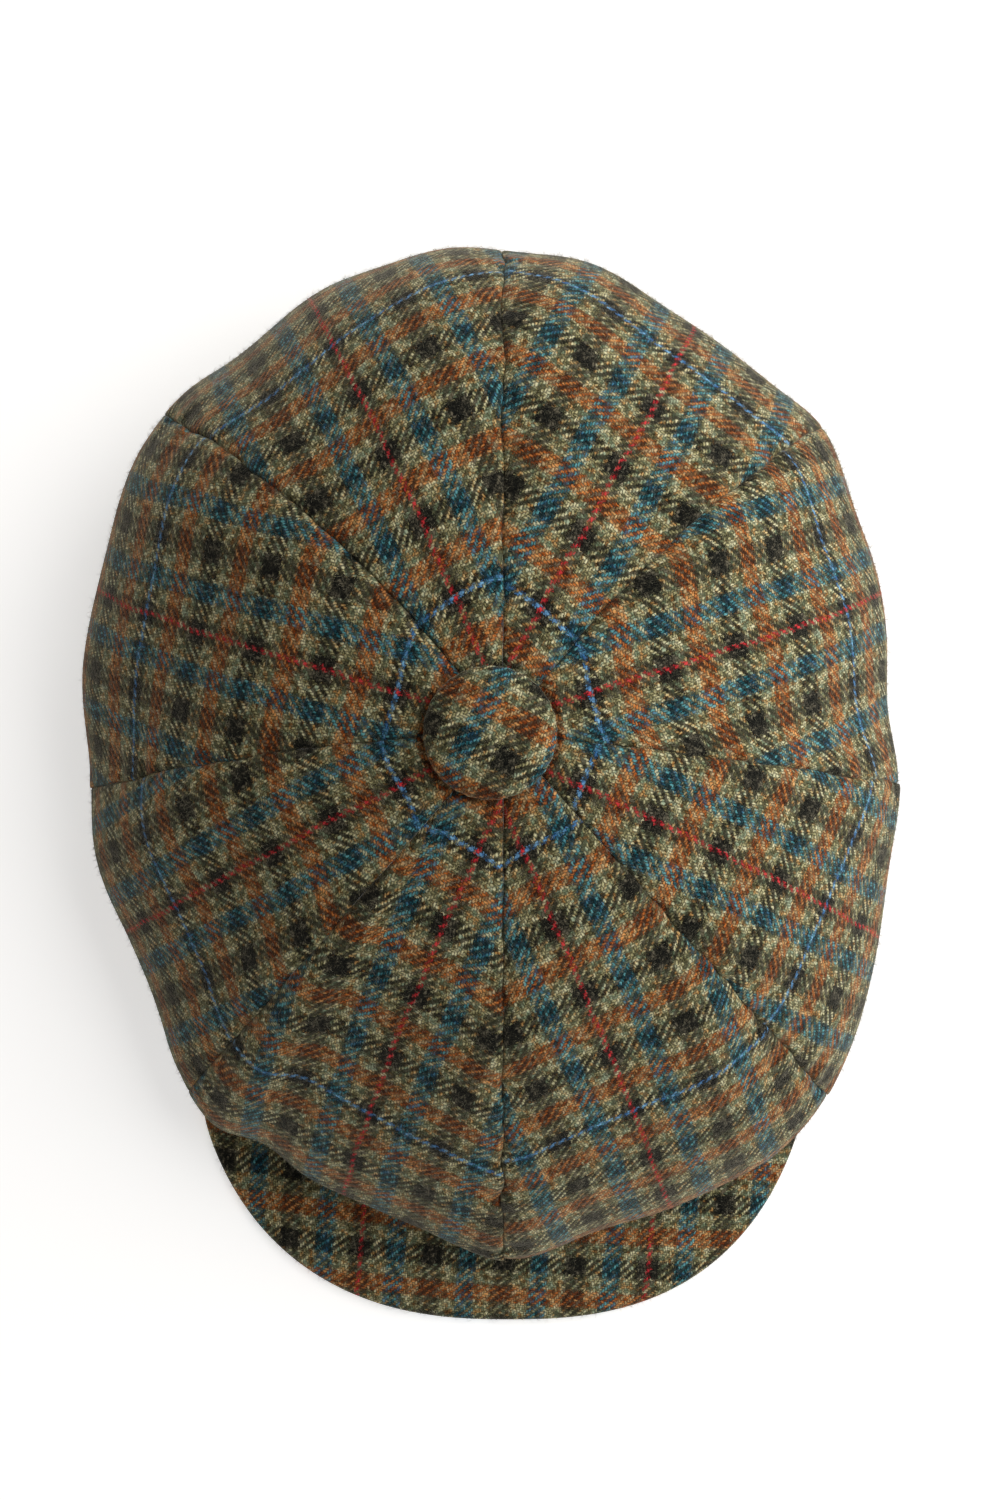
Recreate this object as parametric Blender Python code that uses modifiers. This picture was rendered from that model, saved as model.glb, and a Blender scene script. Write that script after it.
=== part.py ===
"""Baker boy cap of checked tweed: eight crown panels, a head band, a stiff peak and a covered button.

The head opening is centred on the origin, the peak points along -Y and the cap rests on Z = 0, on
the lower edge of its band and the outer edge of its peak. Bearings turn clockwise from the back, +Y,
seen from above.
"""

from collections import namedtuple

import bmesh
import bpy
import numpy as np

# Head band, in metres as every length here.
HEAD_WIDTH = 0.166
HEAD_LENGTH = 0.202
BAND_WALL = 0.0025
BAND_HEIGHT = 0.027
FRONT_RISE = 0.016
LEVEL_PAST_PEAK = 10.0

# Crown.
CROWN_WIDTH = 0.240
CROWN_LENGTH = 0.298
CROWN_TOP = 0.105
APEX_BACK = 0.0148
TIP_RADIUS = 0.004
PANEL_WALL = 0.002
SEAM_VALLEY = 0.0018
VALLEY_SHARPNESS = 4.0
SEAM_ALLOWANCE = 0.004
FOLD_HEIGHT = 0.0115
FOLD_OVER_PEAK = 0.0012
PANEL_SHADES = (0.85, 1.15)

# Peak.
PEAK_REACH = 0.0605
PEAK_FLARE = 0.0115
PEAK_WALL = 0.0035
PEAK_SKEW = 0.002
PEAK_HALF_ANGLE = 65.0

# Covered button, set a little to the left of where the seams meet.
BUTTON_DIAMETER = 0.0336
BUTTON_DOME = 0.0052
BUTTON_EDGE = 0.0018
BUTTON_SHIFT = -0.0033

# Clearance between two pieces that touch on the real cap, and points this near are made one.
GAP = 0.0003
MERGE_DISTANCE = 0.00001

# How finely each piece is divided.
PANEL_COLUMNS = 8
TOP_ROWS = 11
FOLD_ROWS = 5
UNDER_ROWS = 4
BAND_SEGMENTS = 72
PEAK_COLUMNS = 28
PEAK_ROWS = 5
BUTTON_ROWS = 6
BUTTON_STEPS = 28
SHARP_ANGLE = 40.0

# A seam runs out from the tip on one bearing and bends to another by the rim.
Seam = namedtuple("Seam", "where tip_bearing rim_bearing")
SEAMS = (
    Seam("back", 0.0, 0.0),
    Seam("back_right", 36.0, 46.0),
    Seam("right", 96.0, 97.0),
    Seam("front_right", 138.0, 138.0),
    Seam("front", 180.0, 180.0),
    Seam("front_left", 220.5, 221.5),
    Seam("left", 268.0, 262.6),
    Seam("back_left", 325.0, 313.4),
    Seam("back", 360.0, 360.0),
)

# The rim's plan: its reach from the apex as a share of an oval of the crown's width and length.
Rim = namedtuple("Rim", "bearing reach")
RIM = (
    Rim(0.0, 0.945),
    Rim(15.0, 0.931),
    Rim(30.0, 0.924),
    Rim(38.0, 0.946),
    Rim(47.0, 0.984),
    Rim(60.0, 0.960),
    Rim(75.0, 0.960),
    Rim(87.0, 0.942),
    Rim(98.0, 0.973),
    Rim(110.0, 0.984),
    Rim(122.0, 1.010),
    Rim(137.0, 1.062),
    Rim(146.0, 1.062),
    Rim(160.0, 1.020),
    Rim(171.0, 1.010),
    Rim(180.0, 1.034),
    Rim(190.0, 0.993),
    Rim(204.0, 0.990),
    Rim(210.5, 0.990),
    Rim(216.0, 1.040),
    Rim(224.0, 1.028),
    Rim(231.0, 1.000),
    Rim(241.0, 1.000),
    Rim(255.0, 1.022),
    Rim(266.0, 1.007),
    Rim(280.0, 1.026),
    Rim(295.0, 1.032),
    Rim(309.0, 1.042),
    Rim(317.0, 1.020),
    Rim(324.0, 0.982),
    Rim(341.0, 0.963),
)

# The dome's section: its widest height as a share of the crown's height, and two powers, of which
# swell rounds the top and shoulder rounds the side.
Section = namedtuple("Section", "where widest swell shoulder")
FRONT = Section("front", 0.235, 1.72, 1.25)
SIDE = Section("side", 0.275, 1.95, 1.30)
BACK = Section("back", 0.280, 2.20, 2.00)

# The crown's fold lies this share of the way from the rim in to the band. It clears the peak as if the
# peak reached this many times its own reach in front, less at the sides, and never less than a least.
FOLD_INSET = 0.45
PEAK_DEPTH_FRONT = 1.2
PEAK_DEPTH_LEAST = 0.25

# The peak's edge is a squared oval, run this far round each way and drawn in to the band past the
# start of its shoulder, as a share of the half angle.
PEAK_SQUARENESS = 2.50
PEAK_SWEEP = 95.0
PEAK_SHOULDER = 0.68
PEAK_TAPER = 0.12
PEAK_BOW = 0.08
SKEW_POWER = 3

# The button's underside, in rings at these shares of its radius.
BUTTON_UNDER_RINGS = (0.95, 0.6, 0.3, 0.0)

TWEED_COLOUR = (0.22, 0.17, 0.10)
TWEED_ROUGHNESS = 0.95


def clear_scene():
    """Remove whatever the scene holds."""
    for thing in list(bpy.data.objects):
        bpy.data.objects.remove(thing, do_unlink=True)


def tweed(name, share):
    """Make a dull wool material, its ground colour dimmed to a share."""
    material = bpy.data.materials.new(name)
    material.use_nodes = True
    shader = material.node_tree.nodes["Principled BSDF"]
    shader.inputs["Base Color"].default_value = (*(value * share for value in TWEED_COLOUR), 1.0)
    shader.inputs["Roughness"].default_value = TWEED_ROUGHNESS
    shader.inputs["Metallic"].default_value = 0.0
    return material


def add_object(name, mesh, collection, share):
    """Put a mesh in the cap's collection under a node's name, in its own shade of tweed."""
    piece = bpy.data.objects.new(name, mesh)
    mesh.materials.append(tweed(name + "_tweed", share))
    collection.objects.link(piece)
    return piece


def band_point(bearing, outward=0.0):
    """Plan point of the band's outer face on an oval's own bearing, moved outward."""
    turn = np.radians(bearing)
    half_width = HEAD_WIDTH / 2 + BAND_WALL + outward
    half_length = HEAD_LENGTH / 2 + BAND_WALL + outward
    return half_width * np.sin(turn), half_length * np.cos(turn)


def band_lower_edge(bearing):
    """Height of the band's lower edge: level at the back and sides, lifted over the peak's root."""
    from_front = np.abs((np.asarray(bearing) % 360.0) - 180.0)
    share = np.clip(from_front / (PEAK_HALF_ANGLE + LEVEL_PAST_PEAK), 0.0, 1.0)
    return FRONT_RISE * np.cos(share * np.pi / 2) ** 2


def band_radius(bearing):
    """Distance from the crown's apex to the band along a bearing, a ray cut with the band's oval."""
    turn = np.radians(bearing)
    half_width = HEAD_WIDTH / 2 + BAND_WALL + GAP
    half_length = HEAD_LENGTH / 2 + BAND_WALL + GAP
    a = (np.sin(turn) / half_width) ** 2 + (np.cos(turn) / half_length) ** 2
    b = APEX_BACK * np.cos(turn) / half_length**2
    c = (APEX_BACK / half_length) ** 2 - 1.0
    return (-b + np.sqrt(b * b - a * c)) / a


def rim_radius(bearing):
    """Distance from the apex to the rim: the ellipse times the table's reach, joined by a cubic."""
    turn = np.radians(bearing)
    oval = 1.0 / np.hypot(np.sin(turn) / (CROWN_WIDTH / 2), np.cos(turn) / (CROWN_LENGTH / 2))
    table = np.array(RIM)
    stops = np.concatenate([table[-2:, 0] - 360.0, table[:, 0], table[:2, 0] + 360.0])
    reach = np.concatenate([table[-2:, 1], table[:, 1], table[:2, 1]])
    slope = np.gradient(reach, stops)
    at = np.asarray(bearing) % 360.0
    left = np.clip(np.searchsorted(stops, at, side="right") - 1, 0, len(stops) - 2)
    span = stops[left + 1] - stops[left]
    t = (at - stops[left]) / span
    keep = (1 + 2 * t) * (1 - t) ** 2 * reach[left] + t * t * (3 - 2 * t) * reach[left + 1]
    lean = t * (1 - t) ** 2 * slope[left] - t * t * (1 - t) * slope[left + 1]
    return oval * (keep + span * lean)


def blend_sections(bearing):
    """Section on a bearing: the side's, drawn to the back's or the front's by its lengthwise cosine."""
    lengthwise = np.cos(np.radians(bearing))
    to_back = np.clip(lengthwise, 0.0, 1.0) ** 2
    to_front = np.clip(-lengthwise, 0.0, 1.0) ** 2
    values = []
    for front, side, back in zip(FRONT[1:], SIDE[1:], BACK[1:]):
        values.append(side + (back - side) * to_back + (front - side) * to_front)
    return Section("blend", *values)


def peak_plan(bearing, share):
    """Plan point of the peak on a band bearing, a share of the way from its root to its edge."""
    root_x, root_y = band_point(bearing, GAP)
    from_front = (bearing - 180.0) / PEAK_HALF_ANGLE
    half_width = HEAD_WIDTH / 2 + BAND_WALL + PEAK_FLARE
    centre_y = -HEAD_LENGTH / 2 + half_width / 2
    length = HEAD_LENGTH / 2 + BAND_WALL + PEAK_REACH + centre_y
    angle = from_front * np.radians(PEAK_SWEEP)
    power = 2.0 / PEAK_SQUARENESS
    edge_x = -half_width * np.sign(angle) * np.abs(np.sin(angle)) ** power
    edge_y = centre_y - length * np.sign(np.cos(angle)) * np.abs(np.cos(angle)) ** power
    past = np.clip((np.abs(from_front) - PEAK_SHOULDER) / (1.0 - PEAK_SHOULDER), 0.0, 1.0)
    reach = share * (PEAK_TAPER + (1.0 - PEAK_TAPER) * np.sqrt(1.0 - past**2))
    skew = PEAK_SKEW * reach * np.clip(np.cos(angle), 0.0, 1.0) ** SKEW_POWER
    return root_x + (edge_x - root_x) * reach + skew, root_y + (edge_y - root_y) * reach


def peak_under(bearing, share):
    """Height of the peak's underside: from the band's lower edge down to the ground at its edge."""
    return band_lower_edge(bearing) * (1.0 - share + PEAK_BOW * np.sin(np.pi * share))


def fold_height(bearing, beyond_band):
    """Lowest height of the crown's fold: its own above the ground, or just over the peak there."""
    from_front = np.abs((np.asarray(bearing) % 360.0) - 180.0)
    depth = PEAK_REACH * np.clip(PEAK_DEPTH_FRONT - from_front / PEAK_HALF_ANGLE, PEAK_DEPTH_LEAST, 1.0)
    share = np.clip(beyond_band / depth, 0.0, 1.0)
    over_peak = peak_under(bearing, share) + PEAK_WALL + FOLD_OVER_PEAK
    return np.maximum(FOLD_HEIGHT, over_peak)


def crown_section(bearing, rows):
    """Radius and height of the crown's skin down its rows, for an array of bearings.

    Over the top the radius is the rim's times sin^(2/swell) and the height falls as cos^(2/shoulder);
    then a quarter ellipse turns under the rim, and an S curve climbs to the band.
    """
    rim, band = rim_radius(bearing), band_radius(bearing)
    section = blend_sections(bearing)
    widest, swell, shoulder = section.widest * CROWN_TOP, section.swell, section.shoulder
    tip_angle = np.arcsin((TIP_RADIUS / rim) ** (swell / 2))
    seat = band_lower_edge(bearing) + BAND_HEIGHT - SEAM_ALLOWANCE
    fold = band + (rim - band) * (1.0 - FOLD_INSET)
    low = np.minimum(fold_height(bearing, fold - band), seat)
    top = np.clip(rows, 0.0, 1.0)
    turn = np.clip(rows - 1.0, 0.0, 1.0) * np.pi / 2
    climb = np.clip(rows - 2.0, 0.0, 1.0)
    angle = tip_angle + (np.pi / 2 - tip_angle) * top
    radius = rim * np.sin(angle) ** (2 / swell)
    height = widest + (CROWN_TOP - widest) * np.clip(np.cos(angle), 0.0, 1.0) ** (2 / shoulder)
    radius = np.where(rows > 1.0, fold + (rim - fold) * np.cos(turn), radius)
    height = np.where(rows > 1.0, low + (widest - low) * (1.0 - np.sin(turn)), height)
    radius = np.where(rows > 2.0, fold + (band - fold) * climb, radius)
    height = np.where(rows > 2.0, low + (seat - low) * climb * climb * (3.0 - 2.0 * climb), height)
    return radius, height


def crown_drop(bearing, radius):
    """How far the top has fallen from the apex at a radius, by the same section solved for height."""
    section = blend_sections(bearing)
    share = 1.0 - (radius / rim_radius(bearing)) ** section.swell
    return CROWN_TOP * (1.0 - section.widest) * (1.0 - share ** (1.0 / section.shoulder))


def panel_points(first, second):
    """Outer and inner points of a panel between two rows of the seam table, rows by columns."""
    rows = np.concatenate([
        np.linspace(0.0, 1.0, TOP_ROWS + 1),
        1.0 + np.linspace(0.0, 1.0, FOLD_ROWS + 1)[1:],
        2.0 + np.linspace(0.0, 1.0, UNDER_ROWS + 1)[1:],
    ])[:, None]
    across = np.linspace(0.0, 1.0, PANEL_COLUMNS + 1)[None, :]
    inward = (1.0 - np.clip(rows, 0.0, 1.0)) ** 2
    start = first.rim_bearing + (first.tip_bearing - first.rim_bearing) * inward
    end = second.rim_bearing + (second.tip_bearing - second.rim_bearing) * inward
    middle_radius = crown_section((start + end) / 2, rows)[0]
    spare = np.degrees(GAP / 2 / middle_radius)
    bearing = start + spare + (end - start - 2 * spare) * across
    radius, height = crown_section(bearing, rows + 0.0 * across)
    along_r, along_z = np.gradient(radius, axis=0), np.gradient(height, axis=0)
    length = np.hypot(along_r, along_z)
    out_r, out_z = -along_z / length, along_r / length
    valley = SEAM_VALLEY * np.abs(2.0 * across - 1.0) ** VALLEY_SHARPNESS
    valley = valley * np.clip(np.sin(np.pi * np.clip(rows, 0.0, 1.0)), 0.0, 1.0)
    layers = []
    for depth in (valley, valley + PANEL_WALL):
        r, z = radius - out_r * depth, height - out_z * depth
        x = r * np.sin(np.radians(bearing))
        y = APEX_BACK + r * np.cos(np.radians(bearing))
        layers.append(np.stack([x, y, z], axis=-1))
    return layers


def grid_wall(name, outer, inner):
    """Closed wall: a grid with its face region extruded, both skins moved to their points."""
    rows, columns = outer.shape[0] - 1, outer.shape[1] - 1
    shape = bmesh.new()
    bmesh.ops.create_grid(shape, x_segments=columns, y_segments=rows, size=1.0)
    skin = shape.verts[:]
    extruded = bmesh.ops.extrude_face_region(shape, geom=shape.faces[:], use_keep_orig=True)
    lining = [item for item in extruded["geom"] if isinstance(item, bmesh.types.BMVert)]
    for verts, points in ((skin, outer), (lining, inner)):
        for vert in verts:
            row = round((vert.co.y + 1.0) / 2.0 * rows)
            column = round((vert.co.x + 1.0) / 2.0 * columns)
            vert.co = points[row, column]
    bmesh.ops.recalc_face_normals(shape, faces=shape.faces[:])
    mesh = bpy.data.meshes.new(name)
    shape.to_mesh(mesh)
    shape.free()
    mesh.shade_smooth()
    mesh.set_sharp_from_angle(angle=np.radians(SHARP_ANGLE))
    return mesh


def build_panels(collection):
    """Eight panels, each between its seam and the next one clockwise."""
    for number, (first, second) in enumerate(zip(SEAMS[:-1], SEAMS[1:]), start=1):
        outer, inner = panel_points(first, second)
        name = f"crown_panel_{number}"
        shade = PANEL_SHADES[number % len(PANEL_SHADES)]
        add_object(name, grid_wall(name, outer, inner), collection, shade)


def build_band(collection):
    """Band: an oval ribbon, its lower edge lifted at the front, thickened inwards by Solidify."""
    shape = bmesh.new()
    bmesh.ops.create_cone(shape, segments=BAND_SEGMENTS, radius1=1.0, radius2=1.0, depth=1.0)
    for vert in shape.verts:
        bearing = np.degrees(np.arctan2(vert.co.x, vert.co.y))
        upper = 1.0 if vert.co.z > 0.0 else 0.0
        x, y = band_point(bearing)
        vert.co = (x, y, band_lower_edge(bearing) + BAND_HEIGHT * upper)
    bmesh.ops.recalc_face_normals(shape, faces=shape.faces[:])
    mesh = bpy.data.meshes.new("head_band")
    shape.to_mesh(mesh)
    shape.free()
    mesh.shade_smooth()
    band = add_object("head_band", mesh, collection, PANEL_SHADES[0])
    wall = band.modifiers.new("wall", "SOLIDIFY")
    wall.thickness = BAND_WALL
    wall.offset = -1.0


def build_peak(collection):
    """Peak: a curved blade from the band's front out to its rounded edge, which lies on the ground."""
    bearing = 180.0 + np.linspace(-1.0, 1.0, PEAK_COLUMNS + 1)[None, :] * PEAK_HALF_ANGLE
    share = np.linspace(0.0, 1.0, PEAK_ROWS + 1)[:, None] + 0.0 * bearing
    bearing = bearing + 0.0 * share
    x, y = peak_plan(bearing, share)
    under = peak_under(bearing, share)
    upper = np.stack([x, y, under + PEAK_WALL], axis=-1)
    lower = np.stack([x, y, under], axis=-1)
    add_object("peak", grid_wall("peak", upper, lower), collection, 1.0)


def build_button(collection):
    """Covered button: a domed profile turned round its axis, dished and leaned to sit on the crown."""
    radius = BUTTON_DIAMETER / 2
    back, front = crown_drop(0.0, radius), crown_drop(180.0, radius)
    right, left = crown_drop(90.0, radius + BUTTON_SHIFT), crown_drop(270.0, radius - BUTTON_SHIFT)
    dish = min(back + front, right + left) / 2
    edge = BUTTON_EDGE - dish
    turn = np.linspace(0.0, np.pi / 2, BUTTON_ROWS + 1)
    points = [(radius * np.sin(a), 0.0, edge + BUTTON_DOME * np.cos(a)) for a in turn]
    points += [(radius * share, 0.0, -dish * share**2) for share in BUTTON_UNDER_RINGS]
    mesh = bpy.data.meshes.new("crown_button")
    mesh.from_pydata(points, [(i, i + 1) for i in range(len(points) - 1)], [])
    button = add_object("crown_button", mesh, collection, PANEL_SHADES[1])
    button.location = (BUTTON_SHIFT, APEX_BACK, CROWN_TOP + GAP)
    button.rotation_euler = (np.arctan2(front - back, 2 * radius), np.arctan2(right - left, 2 * radius), 0.0)
    turned = button.modifiers.new("turned", "SCREW")
    turned.steps = BUTTON_STEPS
    turned.render_steps = BUTTON_STEPS
    turned.use_merge_vertices = True
    turned.merge_threshold = MERGE_DISTANCE


def build_cap():
    """Put the whole cap together in one collection."""
    clear_scene()
    collection = bpy.data.collections.new("baker_boy_cap")
    bpy.context.scene.collection.children.link(collection)
    build_panels(collection)
    build_band(collection)
    build_peak(collection)
    build_button(collection)


build_cap()
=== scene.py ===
"""Baker boy cap: its cloth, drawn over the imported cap.

Lengths are in metres. The head opening is centred on the origin, the peak points along -Y and the
cap stands on Z = 0. Bearings turn clockwise from the back, +Y, seen from above.
"""

from types import SimpleNamespace

import bpy
import numpy as np
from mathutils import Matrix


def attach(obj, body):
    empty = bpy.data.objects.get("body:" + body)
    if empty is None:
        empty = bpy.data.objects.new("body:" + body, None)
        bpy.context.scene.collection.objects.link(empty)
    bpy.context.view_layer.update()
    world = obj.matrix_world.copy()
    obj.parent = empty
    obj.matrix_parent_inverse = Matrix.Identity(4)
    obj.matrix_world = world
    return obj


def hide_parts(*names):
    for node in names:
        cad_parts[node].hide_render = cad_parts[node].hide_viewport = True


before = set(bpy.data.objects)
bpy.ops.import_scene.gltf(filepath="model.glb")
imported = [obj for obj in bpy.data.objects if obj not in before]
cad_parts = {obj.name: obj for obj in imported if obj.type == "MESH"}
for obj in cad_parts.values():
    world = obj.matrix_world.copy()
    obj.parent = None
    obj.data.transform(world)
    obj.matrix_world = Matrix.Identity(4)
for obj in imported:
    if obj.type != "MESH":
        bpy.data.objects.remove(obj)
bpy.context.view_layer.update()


# Setting. The cap lies on a white table and is seen from straight above, its peak towards the foot
# of the picture. One broad soft lamp stands to the cap's right and a little behind it, and a weak one
# stands lower, to the right of the peak and in front of it.
CAMERA_AT = (-0.0008, 0.0105, 0.574)
CAMERA_LENS = 44.8
CAMERA_SENSOR = 36.0
TABLE_DROP = 0.0005
TABLE_HALF = 3.0
LAMP_AT = (0.92, 0.49, 0.92)
LAMP_SIZE = 1.4
LAMP_POWER = 18.0
FRONT_LAMP_AT = (0.85, -0.95, 0.55)
FRONT_LAMP_SIZE = 0.8
FRONT_LAMP_POWER = 2.5
ROOM_LIGHT = 0.138
TABLE_GLOW = 0.58

camera = bpy.data.objects.new("camera", bpy.data.cameras.new("camera"))
camera.data.lens = CAMERA_LENS
camera.data.sensor_width = CAMERA_SENSOR
camera.data.clip_start = 0.01
camera.location = CAMERA_AT
bpy.context.scene.collection.objects.link(camera)
bpy.context.scene.camera = camera
bpy.context.scene.view_settings.view_transform = "Standard"

for name, place, size, power, colour in (
        ("lamp", LAMP_AT, LAMP_SIZE, LAMP_POWER, (1.0, 0.98, 0.95)),
        ("front_lamp", FRONT_LAMP_AT, FRONT_LAMP_SIZE, FRONT_LAMP_POWER, (0.95, 0.98, 1.0))):
    lamp = bpy.data.objects.new(name, bpy.data.lights.new(name, "AREA"))
    lamp.data.size = size
    lamp.data.energy = power
    lamp.data.color = colour
    lamp.location = place
    lamp.rotation_euler = lamp.location.to_track_quat("Z", "Y").to_euler()
    bpy.context.scene.collection.objects.link(lamp)

room = bpy.data.worlds.new("room")
room.use_nodes = True
room.node_tree.nodes["Background"].inputs["Color"].default_value = (1.0, 0.93, 0.85, 1.0)
room.node_tree.nodes["Background"].inputs["Strength"].default_value = ROOM_LIGHT
bpy.context.scene.world = room

table_mesh = bpy.data.meshes.new("table")
table_mesh.from_pydata(
    [(x * TABLE_HALF, y * TABLE_HALF, -TABLE_DROP) for x, y in ((-1, -1), (1, -1), (1, 1), (-1, 1))],
    [],
    [(0, 1, 2, 3)],
)
table = bpy.data.objects.new("table", table_mesh)
bpy.context.scene.collection.objects.link(table)
table_white = bpy.data.materials.new("table_white")
table_white.use_nodes = True
white = table_white.node_tree.nodes["Principled BSDF"]
white.inputs["Base Color"].default_value = (0.9, 0.9, 0.9, 1.0)
white.inputs["Roughness"].default_value = 0.9
white.inputs["Specular IOR Level"].default_value = 0.1
white.inputs["Emission Color"].default_value = (1.0, 1.0, 1.0, 1.0)
white.inputs["Emission Strength"].default_value = TABLE_GLOW
table_mesh.materials.append(table_white)


# Head band. A straight strip of the tweed, folded over at its lower edge and joined at the back,
# sewn round the head opening. Its front is lifted to sit over the root of the peak.
HEAD_WIDTH = 0.166
HEAD_LENGTH = 0.202
BAND_WALL = 0.0025
BAND_HEIGHT = 0.027
FRONT_RISE = 0.016
PEAK_HALF_ANGLE = 65.0
LEVEL_PAST_PEAK = 10.0
GAP = 0.0003
JOIN_PINCH = 0.0007
JOIN_REACH = 0.0009
BAND_EASE = 0.0002
BAND_WAVES = 9
BAND_CHECK = 12

# The cloth: 32 threads to a repeat, a 2/2 twill with one bright line to every fourth dark stripe.
# Its grains are counts to the metre, and its shakes and frays are widths in threads.
REPEAT = 32.0
THREAD = 0.02185 / REPEAT
SLOW_GRAIN, QUICK_GRAIN, FIBRE_GRAIN, FLECK_GRAIN, HAIR_GRAIN = 70.0, 1100.0, 2600.0, 420.0, 560.0
SLOW_SHAKE, QUICK_SHAKE = 1.8, 1.3
LINE_FRAY, EDGE_FRAY, FLUFF_FRAY = 3.2, 5.0, 10.0

# How floats stand: flat along by 1.3 times a cosine, round across, the warp a little the higher. The
# bright lines stand up more, and the rust lifts where it crosses the khaki.
FLOAT_FLATNESS, FLOAT_ROUNDNESS, TALLEST = 1.3, 3.8, 1.98
WARP_STANDS, WEFT_STANDS = 0.98, 0.92
RED_STANDS, BLUE_STANDS, RUST_STANDS, RUST_SHOWS = 0.2, 0.5, 0.35, 0.4
TURN_SHARPNESS = 3.0
FLOAT_RELIEF, FIBRE_RELIEF = 0.8, 0.5
BUMP_STRENGTH, BUMP_DEPTH = 0.55, 0.0004

# How a yarn's tone varies by float, by yarn, by fibre and by fleck, less a dullness of its system's,
# and where flecks of sage and tan begin in the khaki and how much they cover. A yarn keeps a tone for
# 9 threads, and a start that differs from yarn to yarn; the weft has chances of its own.
FLOAT_TONE, YARN_TONE, FIBRE_TONE, FLECK_TONE = 0.85, 0.30, 1.4, 2.1
WARP_DULLNESS, WEFT_DULLNESS = 1.78, 2.00
SLUB_LENGTH, SLUB_STAGGER = 9.0, 0.37
WEFT_CHANCE, WEFT_SLUB_CHANCE = 0.37, 0.71
FLECK_PULL, FLECK_SHARPNESS = 3.5, 2.5
SAGE_FROM, SAGE_SHARE = 2.05, 0.95
TAN_FROM, TAN_SHARE = 2.15, 0.90

# How far a covered yarn is painted towards black as painted shade in the gaps, how steeply a float's
# sides fall into that painted shade, how far rust wins over khaki and teal over the rest, and how thin
# the stray hairs are and how much they and tufts show.
COVERED_PAINTED_SHADE, SIDE_PAINTED_SHADE_POWER = 0.88, 2.3
RUST_WINS, TEAL_WINS = 0.44, 0.12
HAIR_THINNESS, HAIR_FADES, HAIR_SHARPNESS = 45.0, 0.30, 2.5
TUFT_PULL, TUFT_FROM, TUFT_SHARPNESS = 2.0, 1.45, 3.0
HAIR_SHARE, TUFT_SHARE, OVER_BLACK_SHARE = 0.15, 0.30, 0.15
# The last of these greys the loose fibres, partly to their own pale hair and partly as painted highlight
# for lit fuzz at the edges.
GREY_SHARE, GREY_ON_BLACK, HAIR_GREY_AND_HIGHLIGHT = 0.16, 0.12, 0.65

# Each yarn's colours from its darkest tone to its palest, by place on a ramp.
KHAKI = ((0.0, (0.125, 0.116, 0.050)), (0.5, (0.575, 0.530, 0.260)), (1.0, (0.980, 0.930, 0.590)))
SAGE = ((0.0, (0.045, 0.078, 0.050)), (0.5, (0.190, 0.310, 0.185)), (1.0, (0.530, 0.680, 0.490)))
TAN = ((0.0, (0.210, 0.085, 0.020)), (0.5, (0.680, 0.330, 0.090)), (1.0, (1.000, 0.720, 0.320)))
RUST = ((0.0, (0.240, 0.046, 0.006)), (0.4, (0.680, 0.175, 0.026)), (1.0, (1.000, 0.520, 0.180)))
TEAL = ((0.0, (0.007, 0.050, 0.068)), (0.5, (0.024, 0.180, 0.225)), (1.0, (0.160, 0.500, 0.550)))
DEEP = ((0.0, (0.006, 0.025, 0.060)), (0.5, (0.020, 0.120, 0.250)), (1.0, (0.110, 0.340, 0.580)))
BLACK = ((0.0, (0.004, 0.005, 0.004)), (0.6, (0.021, 0.021, 0.016)), (1.0, (0.190, 0.170, 0.120)))
RED = ((0.0, (0.330, 0.008, 0.016)), (1.0, (0.920, 0.050, 0.065)))
BLUE = ((0.0, (0.040, 0.170, 0.450)), (1.0, (0.300, 0.660, 1.000)))
HAIR = ((0.0, (0.110, 0.112, 0.075)), (1.0, (0.460, 0.430, 0.300)))
KHAKI_FLUFF, BLACK_FLUFF = (0.260, 0.250, 0.135, 1.0), (0.010, 0.011, 0.009, 1.0)
RUST_FLUFF, TEAL_FLUFF = (0.400, 0.115, 0.028, 1.0), (0.020, 0.115, 0.150, 1.0)
RED_FLUFF, BLUE_FLUFF = (0.300, 0.020, 0.025, 1.0), (0.090, 0.220, 0.420, 1.0)
# The black of the painted shade in the gaps between floats.
SHADE = (0.0, 0.0, 0.0, 1.0)


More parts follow.
